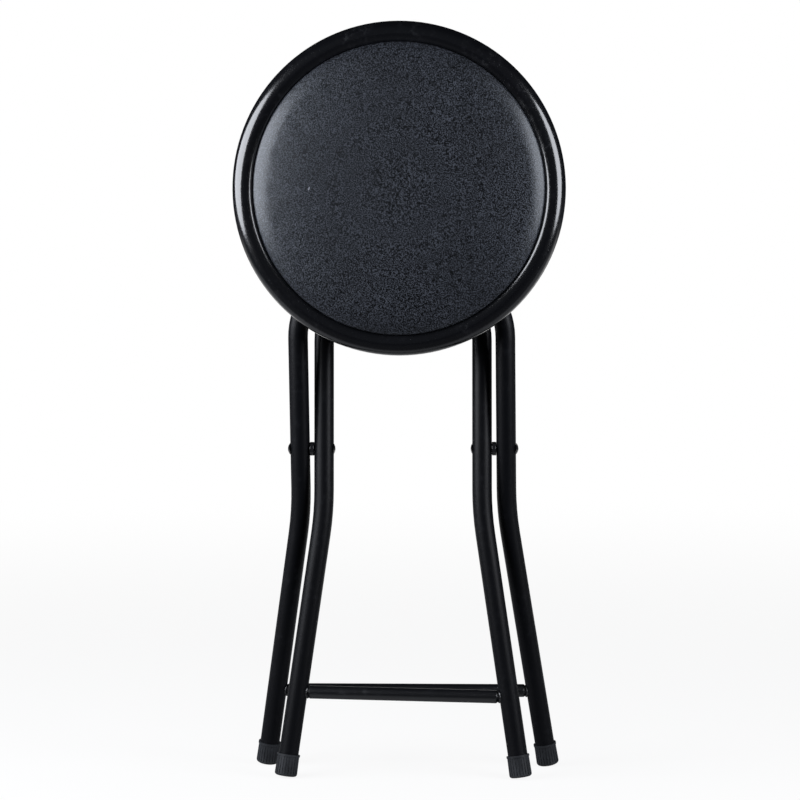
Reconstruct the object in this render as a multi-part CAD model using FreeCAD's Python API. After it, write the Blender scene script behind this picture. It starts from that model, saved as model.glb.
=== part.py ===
import FreeCAD, Part
import math
import os
from FreeCAD import Rotation, Vector

# A round padded stool that folds flat, modelled folded and standing on its feet, in millimetres.
# X runs across the stool, the seat's padded face looks along -Y and Z is up. The origin is the
# middle of the stool's footprint on the floor.

# Seat ring: a round steel tube bent into a circle.
seat_ring_diameter = 300.0  # over the tube
seat_tube_diameter = 22.0
seat_tube_wall = 1.0

# Padded disc that sits on the ring's inner flank. Heights are measured from the ring's middle plane.
pad_gap = 0.3  # pad to the ring's tube
pad_lap = 2.6  # how far the pad's girth reaches out over the tube
pad_edge_height = 0.8  # upright part of the girth
pad_edge_radius = 2.0
pad_edge_slope = 38.0  # degrees, of the face where it rolls into the edge
pad_shoulder_radius = 40.0
pad_crown_height = 24.5
pad_draw_in = 1.5  # waist to the board's edge
foam_hem_drop = 3.0  # below the board's upper face
cover_thickness = 0.8
cover_turn_under = 17.0
board_thickness = 12.0
board_edge_round = 2.0

# Staples that hold the turned-under cover.
staple_count = 24
staple_inset = 9.0  # in from the board's edge
staple_width = 10.0
staple_wire = 0.6
staple_length = 6.0

# Flat straps across the ring, behind the board.
strap_width = 20.0
strap_thickness = 2.0
strap_screw_inset = 10.0  # in from the turned-under cover

# Leg frames: round steel tube, bent. Heights and drops are measured from the pivot, along the frame.
leg_tube_diameter = 18.0
leg_tube_wall = 1.4
outer_half_spacing = 94.5
outer_bar_flat = 57.0
inner_bar_flat = 5.0
leg_bend_drop = 58.0
leg_bend_radius = 280.0
leg_drop = 296.0
outer_splay = 8.7  # degrees
inner_splay = 8.3

# Crossbars: thinner tube with swaged ends, welded between the legs.
crossbar_diameter = 12.0
crossbar_wall = 1.2
crossbar_end_diameter = 8.4
crossbar_taper = 2.6
outer_crossbar_drop = 228.8
inner_crossbar_drop = 224.5
outer_crossbar_slant = 0.0  # degrees, its +X end down
inner_crossbar_slant = 1.2  # welded a little askew, as photographed
weld_gap = 0.1

# Foot caps: ribbed rubber cups pushed over the tube ends.
cap_length = 20.0
cap_floor = 3.0
cap_wall = 1.0
cap_flare = 0.3
cap_lip = 0.5
cap_lip_height = 1.8
cap_edge_round = 2.4
cap_rib_count = 24
cap_rib_depth = 0.3
cap_rib_width = 1.1
cap_fit = 0.05

# Pivot: a rivet and a spacer on each side.
rivet_diameter = 6.0
rivet_head_diameter = 10.6
rivet_head_rise = 2.1
rivet_tail_diameter = 9.4
rivet_tail_rise = 1.3
spacer_diameter = 12.6
spacer_length = 3.7
spacer_edge_round = 0.5
pivot_play = 0.15  # beside each face
pivot_fit = 0.08  # round the rivet

# Angles of each leg frame from upright.
folded_half_angle = 6.0
open_half_angle = 25.0

# Seat hinge: saddles bent round the outer frame's top bar.
hinge_to_ring_edge = 80.5
ring_to_leg_gap = 2.2
bar_gap = 0.3  # top bar to what it lies under
saddle_width = 14.0
saddle_thickness = 2.0
saddle_flange = 12.0
saddle_end_gap = 1.5  # to the end of the bar's straight
saddle_fit = 0.1

# Catch: a plastic cradle that the inner frame's top bar enters when the stool is open.
catch_to_ring_edge = 76.655
catch_side_gap = 1.0
catch_wall = 3.0
catch_far_depth = 9.0
catch_near_depth = 1.5
catch_near_gap = 11.5
catch_lug = 1.2
catch_lug_height = 3.2
catch_flange = 13.0

# Screws, all of one kind.
screw_diameter = 4.0
screw_head_diameter = 8.0
screw_head_rise = 2.4
screw_length = 12.0
screw_point = 3.0
screw_fit = 0.05

overrun = 10.0  # how far every cutting tool passes what it cuts

# What follows from the sizes above.
seat_tube_radius = seat_tube_diameter / 2
ring_radius = seat_ring_diameter / 2 - seat_tube_radius
leg_radius = leg_tube_diameter / 2
inner_half_spacing = outer_half_spacing - leg_tube_diameter - spacer_length - 2 * pivot_play
outer_bend_radius = outer_half_spacing - outer_bar_flat / 2
inner_bend_radius = inner_half_spacing - inner_bar_flat / 2
lean = math.radians(folded_half_angle)
opening_angle = math.radians(open_half_angle)

# The two top bars carry the open seat, which sets how far apart they open.
hinge_to_seat_centre = seat_ring_diameter / 2 - hinge_to_ring_edge
hinge_y = -hinge_to_seat_centre
catch_y = seat_ring_diameter / 2 - catch_to_ring_edge
top_bar_height = (catch_y - hinge_y) / (2 * math.sin(opening_angle))

# The ring passes in front of the outer legs, which sets how far it stands off the hinge bar.
ring_crossing = math.sqrt(ring_radius ** 2 - outer_half_spacing ** 2) - hinge_to_seat_centre
hinge_drop = leg_radius + seat_tube_radius + ring_to_leg_gap - ring_crossing * math.tan(lean)
strap_under = -(hinge_drop - leg_radius - bar_gap)
strap_top = strap_under + strap_thickness
board_under = strap_top + cover_thickness
board_top = board_under + board_thickness
pad_radius = ring_radius - seat_tube_radius + pad_lap
pad_flank_radius = seat_tube_radius + pad_gap
pad_waist_radius = ring_radius - pad_flank_radius
pad_girth_height = math.sqrt(pad_flank_radius ** 2 - (ring_radius - pad_radius) ** 2) + pad_edge_height
board_radius = pad_waist_radius - pad_draw_in - cover_thickness
cover_opening = board_radius - cover_turn_under
strap_screw_offset = cover_opening - strap_screw_inset
strap_x = outer_bar_flat / 2 - saddle_end_gap - saddle_width / 2
catch_width = 2 * (strap_x - strap_width / 2 - catch_side_gap)
cap_radius = leg_radius + cap_wall
screw_radius = screw_diameter / 2

# Height of the pivot over the floor and its place between the pad's crown and the rear feet.
splay = math.radians(outer_splay)
cap_reach = leg_drop + (cap_floor - cap_edge_round) * math.cos(splay)
cap_tilt = math.acos(math.cos(splay) * math.cos(lean))
cap_rim = cap_radius + cap_flare - cap_edge_round
pivot_z = cap_reach * math.cos(lean) + cap_rim * math.sin(cap_tilt) + cap_edge_round
seat_centre_z = pivot_z + top_bar_height * math.cos(lean) + hinge_to_seat_centre
cap_back = cap_rim * math.sqrt(1 - (math.cos(splay) * math.sin(lean)) ** 2) + cap_edge_round
back_reach = cap_reach * math.sin(lean) + cap_back
front_reach = top_bar_height * math.sin(lean) + hinge_drop + pad_crown_height
pivot_y = (front_reach - back_reach) / 2
seat_plane_y = pivot_y - top_bar_height * math.sin(lean) - hinge_drop

X = Vector(1, 0, 0)
Y = Vector(0, 1, 0)
Z = Vector(0, 0, 1)
ORIGIN = Vector(0, 0, 0)


def save(node, shape):
    shape.exportStep("parts/" + node + ".step")


def box(low, high):
    size = high - low
    return Part.makeBox(size.x, size.y, size.z, low)


def turned(edges):
    """Solid turned about Z from an outline in the XZ plane."""
    return Part.Face(Part.Wire(edges)).revolve(ORIGIN, Z, 360)


def lines(points):
    corners = [Vector(r, 0, z) for r, z in points]
    return [Part.makeLine(a, b) for a, b in zip(corners, corners[1:])]


def arc(start, middle, end):
    points = [Vector(r, 0, z) for r, z in (start, middle, end)]
    return Part.Arc(*points).toShape()


def arc_about(centre, radius, start_angle, end_angle):
    """Arc in the XZ plane, by its centre and two angles in radians from X."""
    angles = (start_angle, (start_angle + end_angle) / 2, end_angle)
    points = [(centre[0] + radius * math.cos(a), centre[1] + radius * math.sin(a)) for a in angles]
    return arc(*points)


def dome(radius, rise, base, up):
    """Arc from a head's rim to its crown, on the axis."""
    ball = (radius ** 2 + rise ** 2) / (2 * rise)
    half = math.asin(radius / ball) / 2
    middle = (ball * math.sin(half), base + up * (rise - ball + ball * math.cos(half)))
    return arc((radius, base), middle, (0, base + up * rise))


def rounded_path(points, radii):
    """Straight runs joined by tangent arcs, one radius per inner point."""
    edges = []
    start = points[0]
    for before, corner, after, radius in zip(points, points[1:], points[2:], radii):
        back = (before - corner).normalize()
        ahead = (after - corner).normalize()
        half = back.getAngle(ahead) / 2
        reach = radius / math.tan(half)
        bisector = (back + ahead).normalize()
        middle = corner + bisector * (radius / math.sin(half) - radius)
        first = corner + back * reach
        last = corner + ahead * reach
        edges.append(Part.makeLine(start, first))
        edges.append(Part.Arc(first, middle, last).toShape())
        start = last
    edges.append(Part.makeLine(start, points[-1]))
    return Part.Wire(edges)


def swept(path, radius):
    start = path.Edges[0]
    begin = start.FirstParameter
    circle = Part.makeCircle(radius, start.valueAt(begin), start.tangentAt(begin))
    return path.makePipeShell([Part.Wire([circle])], True, False)


def in_frame(shape, side):
    """Leans a leg frame about the pivot: side 1 sends its feet to the back, -1 to the front."""
    placed = shape.copy()
    placed.rotate(ORIGIN, X, side * folded_half_angle)
    placed.translate(Vector(0, pivot_y, pivot_z))
    return placed


def in_seat(shape):
    """Stands the seat, drawn lying with its padded face up, on edge for the folded stool."""
    placed = shape.copy()
    placed.rotate(ORIGIN, X, 90)
    placed.translate(Vector(0, seat_plane_y, seat_centre_z))
    return placed


def leg_half_width(half_spacing, splay_angle, drop):
    """Distance of a leg's axis from the middle, at a drop below the bend."""
    return half_spacing + (drop - leg_bend_drop) * math.tan(math.radians(splay_angle))


def leg_path(half_spacing, splay_angle, bend_radius):
    foot = leg_half_width(half_spacing, splay_angle, leg_drop)
    right = [
        Vector(half_spacing, 0, top_bar_height),
        Vector(half_spacing, 0, -leg_bend_drop),
        Vector(foot, 0, -leg_drop),
    ]
    left = [Vector(-point.x, 0, point.z) for point in reversed(right)]
    radii = [leg_bend_radius, bend_radius, bend_radius, leg_bend_radius]
    return rounded_path(left + right, radii)


def leg_frame(path, half_spacing):
    """Bent tube with a hole through each leg for the pivot rivet."""
    tube = swept(path, leg_radius).cut(swept(path, leg_radius - leg_tube_wall))
    reach = half_spacing + leg_radius + overrun
    hole = Part.makeCylinder(rivet_diameter / 2 + pivot_fit, 2 * reach, Vector(-reach, 0, 0), X)
    return tube.cut(hole)


def crossbar(path, half_spacing, splay_angle, drop, slant):
    """Thin tube, swaged down where it meets the legs and cut to their outline."""
    end = leg_half_width(half_spacing, splay_angle, drop)
    neck = end - leg_radius
    full = neck - crossbar_taper
    radius = crossbar_diameter / 2
    small = crossbar_end_diameter / 2
    outer = [(0, -end), (small, -end), (small, -neck), (radius, -full)]
    outer += [(r, -z) for r, z in reversed(outer)]
    inner = [(max(r - crossbar_wall, 0), z) for r, z in outer]
    bar = turned(lines(outer + outer[:1])).cut(turned(lines(inner + inner[:1])))
    bar.rotate(ORIGIN, Y, 90 + slant)
    bar.translate(Vector(0, 0, -drop))
    return bar.cut(swept(path, leg_radius + weld_gap))


def foot_cap(half_spacing, splay_angle, side):
    """Ribbed cup over a tube end, its floor below the end. The top of its outline is the lip."""
    top = cap_length - cap_floor
    flared = cap_radius + cap_flare
    lip = cap_radius + cap_lip
    lip_foot = top - cap_lip_height
    corner = (flared - cap_edge_round, cap_edge_round - cap_floor)
    bore = leg_radius + cap_fit
    edges = lines([(0, 0), (0, -cap_floor), (corner[0], -cap_floor)])
    edges.append(arc_about(corner, cap_edge_round, -math.pi / 2, 0))
    edges += lines([(flared, corner[1]), (cap_radius, lip_foot), (lip, lip_foot), (lip, top), (bore, top)])
    edges += lines([(bore, top), (bore, 0), (0, 0)])
    cap = turned(edges)
    groove = Part.makeCylinder(cap_rib_width / 2, lip_foot - corner[1], Vector(0, 0, corner[1]), Z)
    sunk = cap_radius + cap_rib_width / 2 - cap_rib_depth
    grooves = []
    for number in range(cap_rib_count):
        around = 2 * math.pi * number / cap_rib_count
        copy = groove.copy()
        copy.translate(Vector(sunk * math.cos(around), sunk * math.sin(around), 0))
        grooves.append(copy)
    cap = cap.cut(Part.makeCompound(grooves))
    cap.rotate(ORIGIN, Y, -side * splay_angle)
    cap.translate(Vector(side * leg_half_width(half_spacing, splay_angle, leg_drop), 0, -leg_drop))
    return cap


def screw(x, y, under):
    """Domed wood screw, driven up from the face it holds."""
    head = screw_head_diameter / 2
    tip = under + screw_length
    edges = [dome(head, screw_head_rise, under, -1)]
    edges += lines([(head, under), (screw_radius, under), (screw_radius, tip - screw_point), (0, tip)])
    edges += lines([(0, tip), (0, under - screw_head_rise)])
    shape = turned(edges)
    shape.translate(Vector(x, y, 0))
    return shape


def screw_hole(x, y):
    low = strap_under - saddle_thickness - overrun
    return Part.makeCylinder(screw_radius + screw_fit, board_top - low, Vector(x, y, low), Z)


# Leg frames. The outer one's feet stand at the back, the inner one's in front.
outer_path = leg_path(outer_half_spacing, outer_splay, outer_bend_radius)
inner_path = leg_path(inner_half_spacing, inner_splay, inner_bend_radius)
save("outer_leg_tube", in_frame(leg_frame(outer_path, outer_half_spacing), 1))
save("inner_leg_tube", in_frame(leg_frame(inner_path, inner_half_spacing), -1))
outer_bar = crossbar(
    outer_path, outer_half_spacing, outer_splay, outer_crossbar_drop, outer_crossbar_slant
)
inner_bar = crossbar(
    inner_path, inner_half_spacing, inner_splay, inner_crossbar_drop, inner_crossbar_slant
)
save("outer_crossbar", in_frame(outer_bar, 1))
save("inner_crossbar", in_frame(inner_bar, -1))
for name, side in (("left", -1), ("right", 1)):
    save("foot_outer_" + name, in_frame(foot_cap(outer_half_spacing, outer_splay, side), 1))
    save("foot_inner_" + name, in_frame(foot_cap(inner_half_spacing, inner_splay, side), -1))

# Pivot rivets: a domed head outside, a flatter tail inside. Drawn along Z, then laid along X.
head_seat = outer_half_spacing + leg_radius + pivot_play
tail_seat = inner_half_spacing - leg_radius - pivot_play
head_radius = rivet_head_diameter / 2
tail_radius = rivet_tail_diameter / 2
shank = rivet_diameter / 2
rivet_edges = [dome(head_radius, rivet_head_rise, head_seat, 1)]
rivet_edges += lines([(head_radius, head_seat), (shank, head_seat), (shank, tail_seat)])
rivet_edges += lines([(shank, tail_seat), (tail_radius, tail_seat)])
rivet_edges.append(dome(tail_radius, rivet_tail_rise, tail_seat, -1))
rivet_edges += lines([(0, tail_seat - rivet_tail_rise), (0, head_seat + rivet_head_rise)])
rivet = turned(rivet_edges)
spacer_start = inner_half_spacing + leg_radius + pivot_play
spacer = Part.makeCylinder(spacer_diameter / 2, spacer_length, Vector(0, 0, spacer_start), Z)
spacer = spacer.makeFillet(spacer_edge_round, [edge for edge in spacer.Edges if edge.Closed])
bore_start = Vector(0, 0, spacer_start - overrun)
spacer = spacer.cut(Part.makeCylinder(shank + pivot_fit, spacer_length + 2 * overrun, bore_start, Z))
for name, turn in (("left", -90), ("right", 90)):
    for node, piece in (("pivot_rivet_", rivet), ("pivot_spacer_", spacer)):
        placed = piece.copy()
        placed.rotate(ORIGIN, Y, turn)
        placed.translate(Vector(0, pivot_y, pivot_z))
        save(node + name, placed)

# Seat ring, hollow.
ring = Part.makeTorus(ring_radius, seat_tube_radius)
save("seat_ring", in_seat(ring.cut(Part.makeTorus(ring_radius, seat_tube_radius - seat_tube_wall))))

# Screw places: in the saddles' flanges, near the straps' ends and in the catch's flanges.
flange_middle = leg_radius + saddle_fit + saddle_thickness + saddle_flange / 2
catch_far = catch_y + leg_radius + bar_gap
catch_near = catch_y - catch_near_gap
saddle_places = [(x, hinge_y + y) for x in (-strap_x, strap_x) for y in (-flange_middle, flange_middle)]
strap_places = [(x, y) for x in (-strap_x, strap_x) for y in (-strap_screw_offset, strap_screw_offset)]
catch_places = [
    (0, catch_near - catch_wall - catch_flange / 2),
    (0, catch_far + catch_wall + catch_flange / 2),
]
holes = Part.makeCompound([screw_hole(x, y) for x, y in saddle_places + strap_places + catch_places])
saddle_under = strap_under - saddle_thickness
save("saddle_screws", in_seat(Part.makeCompound([screw(x, y, saddle_under) for x, y in saddle_places])))
save("strap_screws", in_seat(Part.makeCompound([screw(x, y, strap_under) for x, y in strap_places])))
save("catch_screws", in_seat(Part.makeCompound([screw(x, y, strap_under) for x, y in catch_places])))

# Straps, cut to the ring's inner side where they are welded to it.
ring_tool = Part.makeTorus(ring_radius, seat_tube_radius + weld_gap)
ring_field = Part.makeCylinder(ring_radius, strap_thickness, Vector(0, 0, strap_under), Z)
for name, side in (("left", -1), ("right", 1)):
    middle = side * strap_x
    low = Vector(middle - strap_width / 2, -ring_radius, strap_under)
    high = Vector(middle + strap_width / 2, ring_radius, strap_top)
    strap = box(low, high).common(ring_field).cut(ring_tool).cut(holes)
    save("strap_" + name, in_seat(strap))

# Saddles: a band under the top bar, straight sides up to the strap and a flange each way.
saddle_bore = leg_radius + saddle_fit
saddle_outer = saddle_bore + saddle_thickness
flange_end = saddle_outer + saddle_flange
saddle_edges = [arc_about((0, -hinge_drop), saddle_outer, math.pi, 2 * math.pi)]
saddle_edges += lines([(saddle_outer, -hinge_drop), (saddle_outer, saddle_under)])
saddle_edges += lines([(saddle_outer, saddle_under), (flange_end, saddle_under)])
saddle_edges += lines([(flange_end, saddle_under), (flange_end, strap_under), (saddle_bore, strap_under)])
saddle_edges += lines([(saddle_bore, strap_under), (saddle_bore, -hinge_drop)])
saddle_edges.append(arc_about((0, -hinge_drop), saddle_bore, 2 * math.pi, math.pi))
saddle_edges += lines([(-saddle_bore, -hinge_drop), (-saddle_bore, strap_under), (-flange_end, strap_under)])
saddle_edges += lines([(-flange_end, strap_under), (-flange_end, saddle_under)])
saddle_edges += lines([(-flange_end, saddle_under), (-saddle_outer, saddle_under)])
saddle_edges += lines([(-saddle_outer, saddle_under), (-saddle_outer, -hinge_drop)])
saddle = Part.Face(Part.Wire(saddle_edges)).extrude(Y * saddle_width)
saddle.rotate(ORIGIN, Z, 90)
for name, side in (("left", -1), ("right", 1)):
    placed = saddle.copy()
    placed.translate(Vector(side * strap_x + saddle_width / 2, hinge_y, 0))
    save("hinge_saddle_" + name, in_seat(placed.cut(holes)))

# Catch: a deep wall on the far side, rounded into its base, with a low lug that the bar passes;
# a shallow wall on the hinge's side; and a flange each way for a screw. Drawn in the XZ plane.
catch_radius = leg_radius + bar_gap
far_out = catch_radius + catch_wall
far_end = far_out + catch_flange
near_out = catch_near_gap + catch_wall
near_end = near_out + catch_flange
deep = -hinge_drop - catch_far_depth
lug_middle = deep + catch_lug_height / 2
lug_top = deep + catch_lug_height
shallow = -hinge_drop - catch_near_depth
catch_edges = [arc_about((0, -hinge_drop), catch_radius, math.pi / 2, 0)]
catch_edges += lines([(catch_radius, -hinge_drop), (catch_radius, lug_top)])
catch_edges += lines([(catch_radius, lug_top), (catch_radius - catch_lug, lug_middle)])
catch_edges += lines([(catch_radius - catch_lug, lug_middle), (catch_radius, deep), (far_out, deep)])
catch_edges += lines([(far_out, deep), (far_out, strap_under), (far_end, strap_under)])
catch_edges += lines([(far_end, strap_under), (far_end, board_under)])
catch_edges += lines([(far_end, board_under), (-near_end, board_under), (-near_end, strap_under)])
catch_edges += lines([(-near_end, strap_under), (-near_out, strap_under), (-near_out, shallow)])
catch_edges += lines([(-near_out, shallow), (-catch_near_gap, shallow), (-catch_near_gap, strap_under)])
catch_edges += lines([(-catch_near_gap, strap_under), (0, strap_under)])
catch = Part.Face(Part.Wire(catch_edges)).extrude(Y * catch_width)
catch.rotate(ORIGIN, Z, 90)
catch.translate(Vector(catch_width / 2, catch_y, 0))
save("catch_cradle", in_seat(catch.cut(holes)))

# Board: a plain disc, rounded on its upper edge, with the screws' holes.
blank = Part.makeCylinder(board_radius, board_thickness, Vector(0, 0, board_under), Z)
upper_edges = [edge for edge in blank.Edges if edge.BoundBox.ZMin > board_under]
blank = blank.makeFillet(board_edge_round, upper_edges)
save("seat_board", in_seat(blank.cut(holes)))


def pad_solid(inset):
    """Pad's body: a crown, a sloping shoulder, a rolled edge, a hollow that lies on the tube and a side."""
    edge = pad_edge_radius - inset
    edge_r = pad_radius - pad_edge_radius
    edge_slope = math.pi / 2 - math.radians(pad_edge_slope)
    shoulder = pad_shoulder_radius - inset
    reach = pad_shoulder_radius - pad_edge_radius
    shoulder_r = edge_r - reach * math.cos(edge_slope)
    shoulder_z = pad_girth_height - reach * math.sin(edge_slope)
    rise = pad_crown_height - shoulder_z
    crown = (shoulder_r ** 2 + rise ** 2 - pad_shoulder_radius ** 2) / (2 * (rise - pad_shoulder_radius))
    crown_z = pad_crown_height - crown
    slope = math.atan2(shoulder_z - crown_z, shoulder_r)
    girth_r = pad_radius - inset
    flank = pad_flank_radius + inset
    flank_start = math.acos((girth_r - ring_radius) / flank)
    low_r = board_radius + cover_thickness - inset
    low_z = board_under - cover_thickness + inset
    edges = [arc_about((0, crown_z), crown - inset, math.pi / 2, slope)]
    edges.append(arc_about((shoulder_r, shoulder_z), shoulder, slope, edge_slope))
    edges.append(arc_about((edge_r, pad_girth_height), edge, edge_slope, 0))
    edges += lines([(girth_r, pad_girth_height), (girth_r, flank * math.sin(flank_start))])
    edges.append(arc_about((ring_radius, 0), flank, flank_start, math.pi))
    edges += lines([(ring_radius - flank, 0), (low_r, low_z), (0, low_z), (0, pad_crown_height - inset)])
    return turned(edges)


# Foam over the board, cover drawn over both and turned under the board.
inner_pad = pad_solid(cover_thickness)
foam_hem = board_top - foam_hem_drop
below = Part.makeCylinder(ring_radius, hinge_drop + foam_hem, Vector(0, 0, -hinge_drop), Z)
save("seat_foam", in_seat(inner_pad.cut(blank).cut(below)))
window = Part.makeCylinder(cover_opening, cover_thickness + overrun, Vector(0, 0, strap_top - overrun), Z)
save("seat_cover", in_seat(pad_solid(0).cut(inner_pad).cut(window)))

# Staples round the turned-under cover, except where the straps cross it.
staple_radius = board_radius - staple_inset
strap_near = strap_x - strap_width / 2 - staple_width
strap_far = strap_x + strap_width / 2 + staple_width / 2
staples = []
for number in range(staple_count):
    around = 360 * number / staple_count
    place = Rotation(Z, around).multVec(Vector(staple_radius, 0, 0))
    if strap_near < abs(place.x) < strap_far and abs(place.y) > staple_radius / 2:
        continue
    half = staple_width / 2
    wire = staple_wire / 2
    low = strap_top - staple_wire
    crown_piece = box(Vector(-wire, -half, low), Vector(wire, half, strap_top))
    legs = [
        box(Vector(-wire, -half, low), Vector(wire, staple_wire - half, low + staple_length)),
        box(Vector(-wire, half - staple_wire, low), Vector(wire, half, low + staple_length)),
    ]
    staple = crown_piece.fuse(legs).removeSplitter()
    staple.translate(Vector(staple_radius, 0, 0))
    staple.rotate(ORIGIN, Z, around)
    staples.append(staple)
save("cover_staples", in_seat(Part.makeCompound(staples)))
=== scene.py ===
import math

import bmesh
import bpy
from mathutils import Matrix, Vector, noise


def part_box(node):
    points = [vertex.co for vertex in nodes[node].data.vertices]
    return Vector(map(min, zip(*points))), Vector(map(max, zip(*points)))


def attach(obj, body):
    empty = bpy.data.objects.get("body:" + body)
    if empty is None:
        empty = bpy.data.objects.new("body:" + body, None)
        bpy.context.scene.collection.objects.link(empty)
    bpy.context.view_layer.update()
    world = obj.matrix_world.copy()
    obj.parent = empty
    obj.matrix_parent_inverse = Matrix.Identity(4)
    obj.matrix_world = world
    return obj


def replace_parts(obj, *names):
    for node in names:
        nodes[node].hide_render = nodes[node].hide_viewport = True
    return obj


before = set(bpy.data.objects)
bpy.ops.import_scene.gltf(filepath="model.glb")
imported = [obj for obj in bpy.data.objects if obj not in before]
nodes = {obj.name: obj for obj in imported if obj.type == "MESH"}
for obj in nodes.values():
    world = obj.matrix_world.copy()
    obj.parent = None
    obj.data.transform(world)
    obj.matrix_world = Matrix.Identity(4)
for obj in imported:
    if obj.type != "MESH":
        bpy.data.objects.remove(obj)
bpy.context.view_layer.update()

scene = bpy.context.scene
scene.view_settings.view_transform = "Standard"


# Camera. A long lens nearly level with the stool, a little above and to its right, as the
# stool was photographed standing folded on its feet.
def middle(node):
    low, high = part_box(node)
    return (low + high) / 2


rivets_middle = (middle("pivot_rivet_left") + middle("pivot_rivet_right")) / 2
camera_lens_mm = 132.64
camera_distance = 2.7
camera_shift_right = -0.0027
camera_rise = 0.0446
camera_yaw = math.radians(3.7)
camera_pitch = math.radians(-4.3)
camera_roll = math.radians(-0.39)

camera = bpy.data.objects.new("camera", bpy.data.cameras.new("camera"))
camera.data.lens = camera_lens_mm
scene.collection.objects.link(camera)
camera_turn = (
    Matrix.Rotation(camera_yaw, 4, "Z")
    @ Matrix.Rotation(math.pi / 2 + camera_pitch, 4, "X")
    @ Matrix.Rotation(camera_roll, 4, "Z")
)
camera.matrix_world = (
    Matrix.Translation(rivets_middle)
    @ camera_turn
    @ Matrix.Translation((camera_shift_right, camera_rise, camera_distance))
)
scene.camera = camera

# Studio light. Two large soft boxes stand at the sides and leave a dark gap round the camera,
# which draws the bright bands on the rim and on the pad's shoulders. The dim room turns white
# straight behind the stool.
lamp_colour = (0.95, 0.98, 1.05)
seat_height = middle("seat_ring").z


def soft_box(name, bearing, height, distance, width, tall, radiance):
    """Soft box facing the seat, its bearing measured from the camera's side towards +X."""
    lamp = bpy.data.lights.new(name, "AREA")
    lamp.shape = "ELLIPSE"
    lamp.color = lamp_colour
    lamp.size = width
    lamp.size_y = tall
    lamp.energy = radiance * math.pi * width * tall
    placed = bpy.data.objects.new(name, lamp)
    scene.collection.objects.link(placed)
    angle = math.radians(bearing)
    target = Vector((0, 0, seat_height))
    away = Vector((math.sin(angle), -math.cos(angle), 0))
    place = target + away * distance + Vector((0, 0, height - seat_height))
    facing = (place - target).to_track_quat("Z", "Y").to_matrix().to_4x4()
    placed.matrix_world = Matrix.Translation(place) @ facing
    placed.visible_camera = False


soft_box("soft_box_left", -65, height=0.68, distance=0.95, width=1.12, tall=0.79, radiance=5.3)
soft_box("soft_box_right", 63, height=0.68, distance=1.0, width=0.7, tall=0.83, radiance=4.8)


def put(tree, kind, inputs=None, **settings):
    """Adds a shader node, sets its options and fills or links its inputs."""
    made = tree.nodes.new(kind)
    for name, value in settings.items():
        setattr(made, name, value)
    for name, value in (inputs or {}).items():
        if isinstance(value, bpy.types.NodeSocket):
            tree.links.new(value, made.inputs[name])
        else:
            made.inputs[name].default_value = value
    return made


def stretched(tree, value, low, high, to_low=0.0, to_high=1.0):
    """Value mapped smoothly from one range to another."""
    inputs = {"Value": value, 1: low, 2: high, 3: to_low, 4: to_high}
    return put(tree, "ShaderNodeMapRange", inputs, interpolation_type="SMOOTHSTEP").outputs[0]


def combined(tree, operation, first, second):
    return put(tree, "ShaderNodeMath", {0: first, 1: second}, operation=operation).outputs[0]


def scaled(tree, value, factor):
    return combined(tree, "MULTIPLY", value, factor)


def blend_colours(tree, share, first, second):
    return put(tree, "ShaderNodeMix", {0: share, 6: first, 7: second}, data_type="RGBA").outputs[2]


def part_of(tree, vector, axis):
    return put(tree, "ShaderNodeSeparateXYZ", {0: vector}).outputs[axis]


def mirrored_ray(tree, ray):
    """1 where a ray comes off or through a surface."""
    return combined(tree, "MAXIMUM", ray["Is Glossy Ray"], ray["Is Transmission Ray"])


white = (1, 1, 1, 1)
fill_light = (0.11, 0.115, 0.125, 1)
dark_room = (0.004, 0.0045, 0.005, 1)
dark_front = (0.024, 0.026, 0.029, 1)
room_front_start, room_front_end = -0.2, -1.0
room_white_start, room_white_end = 0.95, 1.0
room = bpy.data.worlds.new("room")
scene.world = room
room.use_nodes = True
tree = room.node_tree
tree.nodes.clear()
ray = put(tree, "ShaderNodeLightPath").outputs
depth = part_of(tree, put(tree, "ShaderNodeTexCoord").outputs["Generated"], "Y")
seen_in = mirrored_ray(tree, ray)
ahead = stretched(tree, depth, room_front_start, room_front_end)
dim = blend_colours(tree, seen_in, fill_light, blend_colours(tree, ahead, dark_room, dark_front))
behind = stretched(tree, depth, room_white_start, room_white_end)
shown_white = combined(tree, "MAXIMUM", ray["Is Camera Ray"], scaled(tree, seen_in, behind))
sky = blend_colours(tree, shown_white, dim, white)
glow = put(tree, "ShaderNodeBackground", {"Color": sky, "Strength": 1.0})
put(tree, "ShaderNodeOutputWorld", {0: glow.outputs[0]})

# Floor. A wide pale sheet that keeps the stool's soft shadow and runs out to plain white. The
# stool is lit by a darker sheet, which is darkest in front, and mirrors white from behind it.
floor_radius = 14.0
floor_sides = 96
floor_colour = (0.86, 0.86, 0.86, 1)
floor_under_the_stool = (0.32, 0.32, 0.32, 1)
floor_in_front = (0.04, 0.04, 0.04, 1)
floor_front_start, floor_front_end = -0.06, -0.26
floor_white_near = 0.9
floor_fade_start, floor_fade_end = 0.5, 2.4
floor_behind_start, floor_behind_end = 0.0, 1.1
floor_lost_start, floor_lost_end = 1.1, 2.6
bm = bmesh.new()
bmesh.ops.create_circle(bm, cap_ends=True, segments=floor_sides, radius=floor_radius)
floor_mesh = bpy.data.meshes.new("floor")
bm.to_mesh(floor_mesh)
bm.free()
floor = bpy.data.objects.new("floor", floor_mesh)
scene.collection.objects.link(floor)
paper = bpy.data.materials.new("pale_paper")
paper.use_nodes = True
tree = paper.node_tree
tree.nodes.clear()
ray = put(tree, "ShaderNodeLightPath").outputs
place = put(tree, "ShaderNodeTexCoord").outputs["Object"]
depth = part_of(tree, place, "Y")
reach = put(tree, "ShaderNodeVectorMath", {0: place}, operation="LENGTH").outputs["Value"]
far = stretched(tree, reach, floor_fade_start, floor_fade_end, floor_white_near, 1.0)
behind = stretched(tree, depth, floor_behind_start, floor_behind_end)
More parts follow.
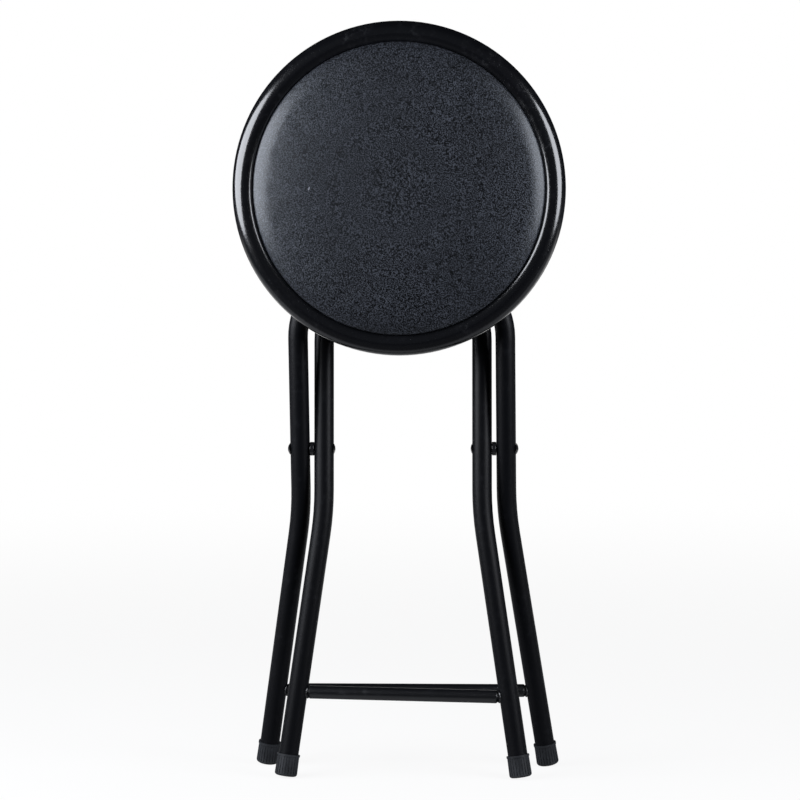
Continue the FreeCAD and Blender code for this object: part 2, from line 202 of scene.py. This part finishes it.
near = stretched(tree, reach, floor_lost_end, floor_lost_start)
mirrored = scaled(tree, mirrored_ray(tree, ray), scaled(tree, behind, near))
share = combined(tree, "MAXIMUM", scaled(tree, ray["Is Camera Ray"], far), mirrored)
in_front = stretched(tree, depth, floor_front_start, floor_front_end)
to_the_stool = blend_colours(tree, in_front, floor_under_the_stool, floor_in_front)
tone = blend_colours(tree, ray["Is Camera Ray"], to_the_stool, floor_colour)
sheet = put(tree, "ShaderNodeBsdfDiffuse", {"Color": tone})
glow = put(tree, "ShaderNodeEmission", {"Color": white, "Strength": 1.0})
mixed = put(tree, "ShaderNodeMixShader", {0: share, 1: sheet.outputs[0], 2: glow.outputs[0]})
put(tree, "ShaderNodeOutputMaterial", {0: mixed.outputs[0]})
floor_mesh.materials.append(paper)


# Leg frames. Two bent steel tubes, one inside the other, stove-enamelled black: a smooth dark
# coat with a faint orange peel, fine dust and a few rubbed, duller places from handling.
def grained(tree, vector, scale, detail=2.0, roughness=0.5):
    """Noise texture over a vector, its value between 0 and 1."""
    inputs = {"Vector": vector, "Scale": scale, "Detail": detail, "Roughness": roughness}
    return put(tree, "ShaderNodeTexNoise", inputs).outputs["Fac"]


def cells(tree, vector, scale):
    """Outputs of a cell texture over a vector."""
    return put(tree, "ShaderNodeTexVoronoi", {"Vector": vector, "Scale": scale}).outputs


def bumped(tree, height, distance, strength=1.0):
    inputs = {"Height": height, "Distance": distance, "Strength": strength}
    return put(tree, "ShaderNodeBump", inputs).outputs["Normal"]


def new_material(name):
    made = bpy.data.materials.new(name)
    made.use_nodes = True
    made.node_tree.nodes.clear()
    return made, made.node_tree, put(made.node_tree, "ShaderNodeTexCoord").outputs["Object"]


def finish_of(material, base, roughness, normal, **others):
    """Principled material from a base colour, roughness and normal made by its caller's tree."""
    tree = material.node_tree
    inputs = {"Base Color": base, "Roughness": roughness, "Normal": normal}
    inputs.update((socket.replace("_", " "), value) for socket, value in others.items())
    surface = put(tree, "ShaderNodeBsdfPrincipled", inputs)
    put(tree, "ShaderNodeOutputMaterial", {0: surface.outputs[0]})


peel_scale = 420.0
speck_scale, speck_height = 2600.0, 0.6
patch_scale, smear_scale = 38.0, 160.0
enamel_skin = bpy.data.node_groups.new("enamel_skin", "ShaderNodeTree")
enamel_skin.interface.new_socket("Place", in_out="INPUT", socket_type="NodeSocketVector")
enamel_skin.interface.new_socket("Peel Scale", in_out="INPUT", socket_type="NodeSocketFloat")
for output in ("Height", "Dust", "Rubbed"):
    enamel_skin.interface.new_socket(output, in_out="OUTPUT", socket_type="NodeSocketFloat")
enters = enamel_skin.nodes.new("NodeGroupInput").outputs
spot = enters["Place"]
speck = stretched(enamel_skin, grained(enamel_skin, spot, speck_scale, 1.0), 0.68, 0.78)
patch = stretched(enamel_skin, grained(enamel_skin, spot, patch_scale, 4.0, 0.6), 0.45, 0.7)
smear = stretched(enamel_skin, grained(enamel_skin, spot, smear_scale, 5.0, 0.65), 0.46, 0.66)
peel = grained(enamel_skin, spot, enters["Peel Scale"], 1.0)
height = combined(enamel_skin, "ADD", peel, scaled(enamel_skin, speck, speck_height))
rubbed = scaled(enamel_skin, patch, smear)
put(enamel_skin, "NodeGroupOutput", {"Height": height, "Dust": speck, "Rubbed": rubbed})

rubbed_tone, worn_share = 0.6, 0.5
scuff_low, scuff_high = 0.12, 0.42
enamel_coat_roughness = 0.08


def enamel(name, colour, worn, smooth, rough, depth, shine, coat, scale=peel_scale, scuffed=0.0):
    """Black stove enamel over steel, scuffed duller towards the floor where that is given."""
    made, tree, place = new_material(name)
    inputs = {"Place": place, "Peel Scale": scale}
    skin = put(tree, "ShaderNodeGroup", inputs, node_tree=enamel_skin).outputs
    tone = combined(tree, "MAXIMUM", skin["Dust"], scaled(tree, skin["Rubbed"], rubbed_tone))
    dull = stretched(tree, skin["Rubbed"], 0.0, 1.0, smooth, rough)
    if scuffed:
        scuff = stretched(tree, part_of(tree, place, "Z"), scuff_low, scuff_high, scuffed, 0.0)
        dull = combined(tree, "ADD", dull, scuff)
    finish_of(
        made,
        blend_colours(tree, scaled(tree, tone, worn_share), colour, worn),
        dull,
        bumped(tree, skin["Height"], depth),
        Coat_Weight=coat,
        Coat_Roughness=enamel_coat_roughness,
        Specular_IOR_Level=shine,
    )
    return made


def dress(node, material):
    """Gives a carried-over CAD node its finish."""
    for slot in nodes[node].material_slots:
        slot.material = material


frame_black, frame_worn = (0.0035, 0.0038, 0.005, 1), (0.02, 0.021, 0.026, 1)
satin_enamel = enamel(
    "satin_enamel", frame_black, frame_worn, 0.38, 0.48, depth=0.00006, shine=0.16, coat=0.0, scuffed=0.05
)
bar_enamel = enamel(
    "bar_enamel", frame_black, frame_worn, 0.3, 0.42, depth=0.00006, shine=1.0, coat=0.15
)
for row in ("outer", "inner"):
    dress(row + "_leg_tube", satin_enamel)
    dress(row + "_crossbar", bar_enamel)

# Weld beads. Each crossbar's swaged ends are welded to the legs all round, under the same
# enamel. A bead follows the leg's round side and ripples a little.
leg_radius = 0.009
neck_radius = 0.0042
bead_radius = 0.0011
bead_stand_off = 0.35
bead_steps, bead_around = 48, 10
bead_ripples, bead_ripple_share = 17, 0.16
bead_merge = 0.00001


def piece(name, bm, material, body, smooth=True):
    """Makes an object of a finished bmesh, with its place in its mesh, and lets it ride on a body."""
    bmesh.ops.recalc_face_normals(bm, faces=bm.faces)
    mesh = bpy.data.meshes.new(name)
    bm.to_mesh(mesh)
    bm.free()
    for face in mesh.polygons:
        face.use_smooth = smooth
    mesh.materials.append(material)
    made = bpy.data.objects.new(name, mesh)
    scene.collection.objects.link(made)
    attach(made, body)
    return made


def spun(bm, geometry, axis, steps):
    """Turns a profile once round an axis through the origin."""
    bmesh.ops.spin(
        bm, geom=geometry, axis=axis, cent=(0, 0, 0), angle=math.tau, steps=steps, use_merge=True
    )


def weld_bead(bm, bar, side):
    """Bead round one end of a crossbar, following the leg's round side."""
    before = set(bm.verts)
    bead_place = Matrix.Translation((0, neck_radius + bead_radius * bead_stand_off, 0))
    profile = bmesh.ops.create_circle(bm, segments=bead_around, radius=bead_radius, matrix=bead_place)
    edges = {edge for vert in profile["verts"] for edge in vert.link_edges}
    spun(bm, profile["verts"] + list(edges), (1, 0, 0), bead_steps)
    corners = [nodes[bar].matrix_world @ vert.co for vert in nodes[bar].data.vertices]
    reach = side * max(side * corner.x for corner in corners)
    tip = [corner for corner in corners if abs(corner.x - reach) < neck_radius / 2]
    centre = sum(tip, Vector()) / len(tip)
    leg_x = reach + side * math.sqrt(leg_radius**2 - neck_radius**2)
    for vert in set(bm.verts) - before:
        around = math.atan2(vert.co.z, vert.co.y)
        ripple = 1 + bead_ripple_share * math.sin(bead_ripples * around)
        neck = Vector((0, vert.co.y, vert.co.z)).normalized() * neck_radius
        vert.co = neck + (vert.co - neck) * ripple
        hug = leg_x - side * math.sqrt(leg_radius**2 - min(vert.co.y, leg_radius) ** 2)
        vert.co = Vector((hug + vert.co.x, centre.y + vert.co.y, centre.z + vert.co.z))


for row in ("outer", "inner"):
    bm = bmesh.new()
    for side in (-1, 1):
        weld_bead(bm, row + "_crossbar", side)
    bmesh.ops.remove_doubles(bm, verts=bm.verts, dist=bead_merge)
    piece(row + "_crossbar_welds", bm, bar_enamel, row + "_frame")

# Foot caps. Soft black rubber cups with fine upright ribs, pushed over the tube ends, dull and
# a little grey with floor dust near the ground.
rubber_dark, rubber_bloomed = (0.016, 0.018, 0.021, 1), (0.028, 0.031, 0.036, 1)
floor_dust, dust_share, dust_top = (0.11, 0.105, 0.1, 1), 0.5, 0.006
bloom_scale = 90.0
pore_scale, pore_depth = 1900.0, 0.00006
rubber, tree, place = new_material("foot_rubber")
bloom = stretched(tree, grained(tree, place, bloom_scale, 4.0, 0.6), 0.35, 0.75)
near_floor = scaled(tree, stretched(tree, part_of(tree, place, "Z"), dust_top, 0.0), bloom)
base = blend_colours(tree, bloom, rubber_dark, rubber_bloomed)
finish_of(
    rubber,
    blend_colours(tree, scaled(tree, near_floor, dust_share), base, floor_dust),
    stretched(tree, bloom, 0.0, 1.0, 0.5, 0.72),
    bumped(tree, grained(tree, place, pore_scale), pore_depth),
    Specular_IOR_Level=0.45,
)
for row in ("outer", "inner"):
    for side in ("left", "right"):
        dress("foot_" + row + "_" + side, rubber)

# Pivots. A domed rivet through both legs on each side, with a round plastic spacer between
# the tubes that shines a little where it is polished by turning.
rivet_black, rivet_worn = (0.008, 0.008, 0.009, 1), (0.09, 0.09, 0.09, 1)
spacer_black, spacer_grey = (0.008, 0.008, 0.009, 1), (0.016, 0.016, 0.018, 1)
moulded_scale, moulded_depth = 700.0, 0.00002
rivet_paint = enamel(
    "rivet_paint", rivet_black, rivet_worn, 0.22, 0.38, depth=0.00005, shine=0.5, coat=0.3, scale=900.0
)
spacer_plastic, tree, place = new_material("spacer_plastic")
moulded = grained(tree, place, moulded_scale, 3.0)
finish_of(
    spacer_plastic,
    blend_colours(tree, moulded, spacer_black, spacer_grey),
    stretched(tree, moulded, 0.3, 0.7, 0.1, 0.18),
    bumped(tree, moulded, moulded_depth),
    Specular_IOR_Level=0.9,
)
for side in ("left", "right"):
    dress("pivot_rivet_" + side, rivet_paint)
    dress("pivot_spacer_" + side, spacer_plastic)

# Seat ring. One steel tube bent into a circle and butt-welded, its enamel glossier than the
# legs' and lit by both soft boxes.
ring_black, ring_worn = (0.0045, 0.0048, 0.006, 1), (0.03, 0.031, 0.036, 1)
gloss_enamel = enamel(
    "gloss_enamel", ring_black, ring_worn, 0.17, 0.3, depth=0.00003, shine=0.9, coat=0.3
)
dress("seat_ring", gloss_enamel)
ring_low, ring_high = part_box("seat_ring")
seat_centre = (ring_low + ring_high) / 2
tube_radius = (ring_high.y - ring_low.y) / 2
ring_radius = (ring_high.x - ring_low.x) / 2 - tube_radius

# Straps, saddles and catch behind the seat: flat steel welded to the ring, two bent steel
# saddles round the top bar and a moulded cradle for the other bar.
edge_break = 0.0004
edge_segments = 2
sharp_turn = math.radians(28)
flat_turn = math.radians(0.6)
merge_distance = 0.000005


def broken_edges(node, name, material):
    """Copy of a CAD node with its sharp edges slightly rounded, in the node's place."""
    bm = bmesh.new()
    bm.from_mesh(nodes[node].data)
    bmesh.ops.transform(bm, matrix=nodes[node].matrix_world, verts=bm.verts)
    bmesh.ops.remove_doubles(bm, verts=bm.verts, dist=merge_distance)
    bmesh.ops.dissolve_limit(bm, angle_limit=flat_turn, verts=bm.verts, edges=bm.edges)
    sharp = [edge for edge in bm.edges if edge.is_manifold and edge.calc_face_angle() > sharp_turn]
    bmesh.ops.bevel(
        bm, geom=sharp, offset=edge_break, segments=edge_segments, profile=0.5, affect="EDGES",
        clamp_overlap=True, material=-1,
    )
    bmesh.ops.triangulate(bm, faces=[face for face in bm.faces if len(face.verts) > 4])
    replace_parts(piece(name, bm, material, "seat", smooth=False), node)


for side in ("left", "right"):
    broken_edges("strap_" + side, "flat_strap_" + side, satin_enamel)
    broken_edges("hinge_saddle_" + side, "bent_saddle_" + side, satin_enamel)
catch_black, catch_grey = (0.014, 0.014, 0.015, 1), (0.024, 0.024, 0.026, 1)
flow_scale = 45.0
sparkle_scale, sparkle_depth = 1500.0, 0.00005
catch_plastic, tree, place = new_material("catch_plastic")
flow = stretched(tree, grained(tree, place, flow_scale, 3.0), 0.35, 0.7)
finish_of(
    catch_plastic,
    blend_colours(tree, flow, catch_black, catch_grey),
    stretched(tree, flow, 0.0, 1.0, 0.36, 0.5),
    bumped(tree, grained(tree, place, sparkle_scale), sparkle_depth),
)
broken_edges("catch_cradle", "moulded_catch", catch_plastic)

# Strap welds. A short rippled bead at each end of both straps, run along the ring's round
# back and thinning towards the strap's corners.
strap_bead_radius = 0.0013
strap_bead_sink = 0.2
strap_bead_start, strap_bead_run = 0.04, 0.92
strap_bead_taper, strap_bead_tip = 6, 0.25
strap_bead_ripples, strap_bead_ripple_share = 9, 0.14
strap_bead_steps, strap_bead_around = 40, 12


def turns_of(count):
    """Angles that divide a full turn evenly."""
    return [math.tau * step / count for step in range(count)]


def closed_skin(bm, rows):
    """Faces from each loop of corners to the next, and over the first and the last."""
    for row, following in zip(rows, rows[1:]):
        for i in range(len(row)):
            bm.faces.new((row[i - 1], row[i], following[i], following[i - 1]))
    bm.faces.new(rows[0])
    bm.faces.new(rows[-1])


bm = bmesh.new()
for side in ("left", "right"):
    low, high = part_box("strap_" + side)
    strap_back = high.y - seat_centre.y
    tube_reach = math.sqrt(tube_radius**2 - strap_back**2)
    reach = ring_radius - tube_reach - strap_bead_radius * strap_bead_sink
    for end in (-1, 1):
        rows = []
        for step in range(strap_bead_steps + 1):
            share = step / strap_bead_steps
            x = low.x + (high.x - low.x) * (strap_bead_start + strap_bead_run * share)
            z = seat_centre.z + end * math.sqrt(reach**2 - x**2)
            taper = min(1.0, strap_bead_taper * min(share, 1 - share) + strap_bead_tip)
            ripple = 1 + strap_bead_ripple_share * math.sin(math.tau * strap_bead_ripples * share)
            bead = strap_bead_radius * taper * ripple
            rows.append(
                [
                    bm.verts.new((x, high.y + bead * math.sin(turn), z + bead * math.cos(turn)))
                    for turn in turns_of(strap_bead_around)
                ]
            )
        closed_skin(bm, rows)
piece("strap_welds", bm, satin_enamel, "seat")

# Seat board. A disc of pressed wood fibre behind the pad, brown and dull, with short upright
# fibres and darker flecks.
chip_dark, chip_light = (0.27, 0.165, 0.085, 1), (0.42, 0.285, 0.165, 1)
fleck_colour, stain_colour, stain_share = (0.15, 0.085, 0.045, 1), (0.36, 0.26, 0.17, 1), 0.4
chip_scale, fuzz_scale, stain_scale = 420.0, 1300.0, 24.0
fibre_stretch = (1.0, 1.0, 0.35)
chip_rise, fibre_depth = 0.4, 0.00018
board, tree, place = new_material("pressed_board")
fibres = put(tree, "ShaderNodeMapping", {"Vector": place, "Scale": fibre_stretch}).outputs[0]
chips = cells(tree, fibres, chip_scale)["Color"]
chip_tone = put(tree, "ShaderNodeSeparateColor", {0: chips}).outputs[0]
fuzz = grained(tree, fibres, fuzz_scale, 5.0, 0.7)
stain = scaled(tree, grained(tree, place, stain_scale, 3.0), stain_share)
base = blend_colours(tree, chip_tone, chip_dark, chip_light)
base = blend_colours(tree, stretched(tree, fuzz, 0.55, 0.8), base, fleck_colour)
finish_of(
    board,
    blend_colours(tree, stain, base, stain_colour),
    stretched(tree, fuzz, 0.3, 0.8, 0.72, 0.9),
    bumped(tree, combined(tree, "ADD", fuzz, scaled(tree, chip_tone, chip_rise)), fibre_depth),
    Specular_IOR_Level=0.3,
)
dress("seat_board", board)

# Padded cover. Black pebbled vinyl drawn tight over a foam crown inside the ring, fullest in
# the middle with a soft round shoulder, its edge pulled down beside the ring.
pad_low, pad_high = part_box("seat_cover")
board_low, board_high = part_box("seat_board")
edge_fullness = 0.0004
pad_shift = 0.0006  # to the right, as the cover was drawn on
pad_radius = (pad_high.x - pad_low.x) / 2 + edge_fullness
board_radius = (board_high.x - board_low.x) / 2
crown_height = seat_centre.y - pad_low.y
board_under = seat_centre.y - board_high.y
face_power = 12.5
crown_sag = 0.0055
crown_slack = 0.0008
edge_roll = 0.0034
tube_gap = 0.0002
hem_gap = 0.0006
hidden_depth = 0.001
roll_start_turn = math.radians(80)
roll_end_turn = math.radians(98)
waist_to_hem_turn = math.radians(150)
hem_turn = math.radians(162)
seat_place = Matrix.Translation(seat_centre) @ Matrix.Rotation(math.pi / 2, 4, "X")

flank_radius = tube_radius + tube_gap
roll_r = pad_radius - edge_roll
roll_z = math.sqrt((flank_radius + edge_roll) ** 2 - (ring_radius - roll_r) ** 2)
roll_touch = math.atan2(roll_z, ring_radius - roll_r)
face_sag = crown_height - crown_slack - roll_z - edge_roll - crown_sag
rim_slope = math.atan((face_sag * face_power + crown_sag * 2) / pad_radius)
face_r = roll_r + edge_roll * math.sin(rim_slope)
flank_start = math.pi - roll_touch
hem_r = board_radius + hem_gap
hem_z = board_under + hidden_depth


def between(value, start, end):
    return (value - start) / (end - start)


def pad_outline(turn):
    """Radius and height of the pad's skin, by the angle from the middle of its face to its back's."""
    if turn <= roll_start_turn:
        radius = face_r * math.sin(turn / roll_start_turn * math.pi / 2)
        share = radius / face_r
        rise = face_sag * (1 - share**face_power) + crown_sag * (1 - share**2)
        return radius, roll_z + edge_roll * math.cos(rim_slope) + rise
    if turn <= roll_end_turn:
        share = between(turn, roll_start_turn, roll_end_turn)
        slant = math.pi / 2 - rim_slope - share * (math.pi / 2 - rim_slope + roll_touch)
        return roll_r + edge_roll * math.cos(slant), roll_z + edge_roll * math.sin(slant)
    if turn <= waist_to_hem_turn:
        share = between(turn, roll_end_turn, waist_to_hem_turn)
        slant = flank_start + share * (math.pi - flank_start)
        return ring_radius + flank_radius * math.cos(slant), flank_radius * math.sin(slant)
    if turn <= hem_turn:
        share = between(turn, waist_to_hem_turn, hem_turn)
        waist_r = ring_radius - flank_radius
        return waist_r + (hem_r - waist_r) * share, hem_z * share
    return hem_r * (math.pi - turn) / (math.pi - hem_turn), hem_z


swell_limit = 0.0008
swell_frames = 20
tiny = 1e-9


def swell(pad, pinned):
    """Fills the pad with air pressure as simulated cloth, and keeps at most a small part of the move."""
    at_rest = [vert.co.copy() for vert in pad.data.vertices]
    pins = pad.vertex_groups.new(name="pins")
    for index, weight in pinned.items():
        pins.add([index], weight, "REPLACE")
    cloth = pad.modifiers.new("cloth", "CLOTH")
    cloth.settings.quality = 6
    cloth.settings.mass = 0.3
    cloth.settings.tension_stiffness = 40
    cloth.settings.compression_stiffness = 40
    cloth.settings.bending_stiffness = 2
    cloth.settings.use_pressure = True
    cloth.settings.uniform_pressure_force = 4
    cloth.settings.vertex_group_mass = "pins"
    cloth.settings.effector_weights.gravity = 0
    cloth.collision_settings.use_collision = False
    for step in range(swell_frames):
        scene.frame_set(step + 1)
    filled = pad.evaluated_get(bpy.context.evaluated_depsgraph_get())
    moves = [vert.co - rest for vert, rest in zip(filled.data.vertices, at_rest)]
    pad.modifiers.remove(cloth)
    for vert, rest, move in zip(pad.data.vertices, at_rest, moves):
        vert.co = rest + move * min(1.0, swell_limit / max(move.length, tiny))
    scene.frame_set(1)


# The vinyl's grain: fine pebbles whose tops are painted lighter, with painted shade near black
# between them, under a thin clear coat, with faint cloudy differences over the pad.
valley_painted_shade, peak_grey_painted_light = (0.0002, 0.0002, 0.0003, 1), (0.072, 0.079, 0.096, 1)
cloud_dark, cloud_share, cloud_scale = (0.002, 0.002, 0.003, 1), 0.25, 17.0
crease_scale, pebble_scale = 960.0, 560.0
pebble_share, peak_polish = -0.6, 0.03
grain_depth, grain_strength = 0.00009, 0.9
vinyl_tint = (0.86, 0.93, 1.0, 1)
vinyl, tree, place = new_material("pebbled_vinyl")
grain_peak_and_shade = stretched(tree, grained(tree, place, crease_scale, 1.0, 0.6), 0.4, 0.68)
cloudy = stretched(tree, grained(tree, place, cloud_scale, 3.0), 0.3, 0.7)
# Painted shade: the grain's valleys are coloured near black and its tops lighter grey, in place of their
# shading.
base = blend_colours(tree, grain_peak_and_shade, valley_painted_shade, peak_grey_painted_light)
base = blend_colours(tree, scaled(tree, cloudy, cloud_share), base, cloud_dark)
dull = stretched(tree, cloudy, 0.0, 1.0, 0.35, 0.39)
dull = combined(tree, "SUBTRACT", dull, scaled(tree, grain_peak_and_shade, peak_polish))
pebble = cells(tree, place, pebble_scale)["Distance"]
grain = combined(tree, "ADD", scaled(tree, pebble, pebble_share), grain_peak_and_shade)

# A small nick in the vinyl's face, left of the middle, where the skin is scraped pale.
nick_place = (-0.0788, 0.0, seat_centre.z + 0.0008)
nick_size = (0.0009, 1.0, 0.0022)
nick_slant = math.radians(20)
nick_colour, nick_depth = (0.24, 0.25, 0.29, 1), 1.5
nick_core = 0.45
face_start, face_end = -0.6, -0.5
turned = {"Vector": place, "Location": nick_place, "Rotation": (0, nick_slant, 0), "Scale": nick_size}
turned = put(tree, "ShaderNodeMapping", turned, vector_type="TEXTURE").outputs[0]
flat = put(tree, "ShaderNodeVectorMath", {0: turned, 1: (1, 0, 1)}, operation="MULTIPLY").outputs[0]
nick_reach = put(tree, "ShaderNodeVectorMath", {0: flat}, operation="LENGTH").outputs["Value"]
facing = part_of(tree, put(tree, "ShaderNodeNewGeometry").outputs["Normal"], "Y")
on_face = stretched(tree, facing, face_start, face_end, 1.0, 0.0)
nick = scaled(tree, stretched(tree, nick_reach, nick_core, 1.0, 1.0, 0.0), on_face)
grain = combined(tree, "SUBTRACT", grain, scaled(tree, nick, nick_depth))
finish_of(
    vinyl,
    blend_colours(tree, nick, base, nick_colour),
    dull,
    bumped(tree, grain, grain_depth, grain_strength),
    Specular_IOR_Level=0.4,
    Specular_Tint=vinyl_tint,
    Coat_Weight=0.4,
    Coat_Roughness=0.28,
)

pad_subdivisions = 6
pin_start, pin_width = 0.86, 0.12
pole_radius = 1e-6
bm = bmesh.new()
bmesh.ops.create_icosphere(bm, subdivisions=pad_subdivisions, radius=1.0)
pinned = {}
for vert in bm.verts:
    turn = vert.co.angle(Vector((0, 0, 1)))
    spread, rise = pad_outline(turn)
    flat = Vector((vert.co.x, vert.co.y, 0))
    flat = flat.normalized() if flat.length > pole_radius else Vector((0, 0, 0))
    loose = min(1.0, max(0.0, between(turn, waist_to_hem_turn, roll_end_turn)))
    vert.co = flat * spread + Vector((pad_shift * loose, 0, rise))
    hold = (spread / pad_radius - pin_start) / pin_width
    pinned[vert.index] = 1.0 if turn > roll_start_turn else min(1.0, max(0.0, hold))
bmesh.ops.transform(bm, matrix=seat_place, verts=bm.verts)
seat_pad = piece("seat_pad", bm, vinyl, "seat")
swell(seat_pad, pinned)
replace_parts(seat_pad, "seat_cover", "seat_foam")

# Turned-under edge of the cover. The vinyl's hem lies flat on the back of the board, gathered
# into small pleats by the curve, flat under the straps and held by staples.
vinyl_thickness = 0.0008
hem_width = 0.0172
hem_overhang = 0.0007
hem_lift = 0.00003
hem_cuts, hem_steps = 7, 464
hem_wander, wander_scale = 0.0012, 9
pleat_count, pleat_height, pleat_sharpness = 58, 0.0006, 3
pleat_stray, pleat_stray_scale = 2.5, 25
pleat_full_at = 2.5
strap_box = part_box("strap_right")
strap_clear = 0.003


def under_strap(x):
    return strap_box[0].x - strap_clear < abs(x) < strap_box[1].x + strap_clear


bm = bmesh.new()
hem_outer = board_radius + hem_overhang
hem_inner = hem_outer - hem_width
low, high = board_under - vinyl_thickness, board_under - hem_lift
corners = [(hem_inner, low), (hem_outer, low), (hem_outer, high), (hem_inner, high)]
loop = [bm.verts.new((radius, 0, rise)) for radius, rise in corners]
edges = [bm.edges.new((loop[i - 1], loop[i])) for i in range(len(loop))]
bmesh.ops.subdivide_edges(bm, edges=[edges[1], edges[3]], cuts=hem_cuts)
spun(bm, bm.verts[:] + bm.edges[:], (0, 0, 1), hem_steps)
bmesh.ops.remove_doubles(bm, verts=bm.verts, dist=merge_distance)
for vert in bm.verts:
    around = math.atan2(vert.co.y, vert.co.x)
    inward = (hem_outer - vert.co.xy.length) / hem_width
    wander = noise.noise(Vector((math.cos(around), math.sin(around), 0)) * wander_scale)
    vert.co.xy *= 1 + hem_wander * wander * inward / hem_outer
    stray = noise.noise(Vector((vert.co.x, vert.co.y, 0)) * pleat_stray_scale)
    fold = abs(math.sin(pleat_count * around / 2 + pleat_stray * stray))
    if vert.co.z < board_under - vinyl_thickness / 2 and not under_strap(vert.co.x):
        vert.co.z -= pleat_height * (1 - fold) ** pleat_sharpness * min(1.0, inward * pleat_full_at)
bmesh.ops.transform(bm, matrix=seat_place, verts=bm.verts)
piece("cover_hem", bm, vinyl, "seat")

# Staples. Zinc-plated wire, driven through the hem into the board, bright with cloudy grey
# tarnish.
zinc_bright, zinc_grey = (0.58, 0.58, 0.56, 1), (0.36, 0.35, 0.33, 1)
spangle_scale, spangle_depth = 1600.0, 0.00002
tarnish_scale = 300.0
zinc, tree, place = new_material("zinc_plate")
tarnish = stretched(tree, grained(tree, place, tarnish_scale, 4.0, 0.6), 0.4, 0.75)
finish_of(
    zinc,
    blend_colours(tree, tarnish, zinc_bright, zinc_grey),
    stretched(tree, tarnish, 0.0, 1.0, 0.28, 0.5),
    bumped(tree, cells(tree, place, spangle_scale)["Distance"], spangle_depth),
    Metallic=1.0,
)
dress("cover_staples", zinc)

# Screws. Zinc-plated pan-head wood screws with a cross recess, through the steel into the
# board, each turned its own way.
screw_head_radius = 0.004
screw_head_rise = 0.0024
screw_shank_radius = 0.00185
screw_reach = 0.0112
dome_power = 0.8
dome_rings, dome_steps = 30, 96
recess_arm = 0.0024
recess_half_width = 0.00045
recess_depth = 0.0011
recess_root, recess_narrowing = 1.15, 0.35
recess_shallowing = 0.75
recess_turns = (0.3, 1.1, 0.75, 0.05)


def recess_cut(x, z):
    """Depth of the cross recess at a point of the screw's head."""
    along, across = max(abs(x), abs(z)), min(abs(x), abs(z))
    half_width = recess_half_width * (recess_root - recess_narrowing * along / recess_arm)
    if across < half_width and along < recess_arm:
        return recess_depth * (1 - recess_shallowing * along / recess_arm)
    return 0


def screw_head(bm, place, turn):
    """One screw lying along Y, its head towards the back, its recess turned by an angle."""
    rows = []
    for ring in range(1, dome_rings + 1):
        share = ring / dome_rings
        radius = screw_head_radius * math.sin(share * math.pi / 2)
        rise = screw_head_rise * math.cos(share * math.pi / 2) ** dome_power
        edge = [(radius * math.cos(around), radius * math.sin(around)) for around in turns_of(dome_steps)]
        rows.append([bm.verts.new((x, rise - recess_cut(x, z), z)) for x, z in edge])
    shank = ((screw_head_radius, 0), (screw_shank_radius, 0), (screw_shank_radius, -screw_reach))
    for radius, rise in shank:
        edge = [(radius * math.cos(around), radius * math.sin(around)) for around in turns_of(dome_steps)]
        rows.append([bm.verts.new((x, rise, z)) for x, z in edge])
    closed_skin(bm, rows)
    made = [vert for row in rows for vert in row]
    bmesh.ops.rotate(bm, verts=made, cent=(0, 0, 0), matrix=Matrix.Rotation(turn, 3, "Y"))
    bmesh.ops.translate(bm, verts=made, vec=place)


for node in ("saddle_screws", "strap_screws", "catch_screws"):
    low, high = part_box(node)
    under_head = high.y - screw_head_rise
    sides = (low.x + screw_head_radius, high.x - screw_head_radius)
    if sides[1] - sides[0] < screw_head_radius:
        sides = (middle(node).x,)
    heights = (low.z + screw_head_radius, high.z - screw_head_radius)
    bm = bmesh.new()
    places = [Vector((x, under_head, z)) for x in sides for z in heights]
    for spot, turn in zip(places, recess_turns):
        screw_head(bm, spot, turn)
    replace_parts(piece(node.replace("screws", "cross_screws"), bm, zinc, "seat"), node)
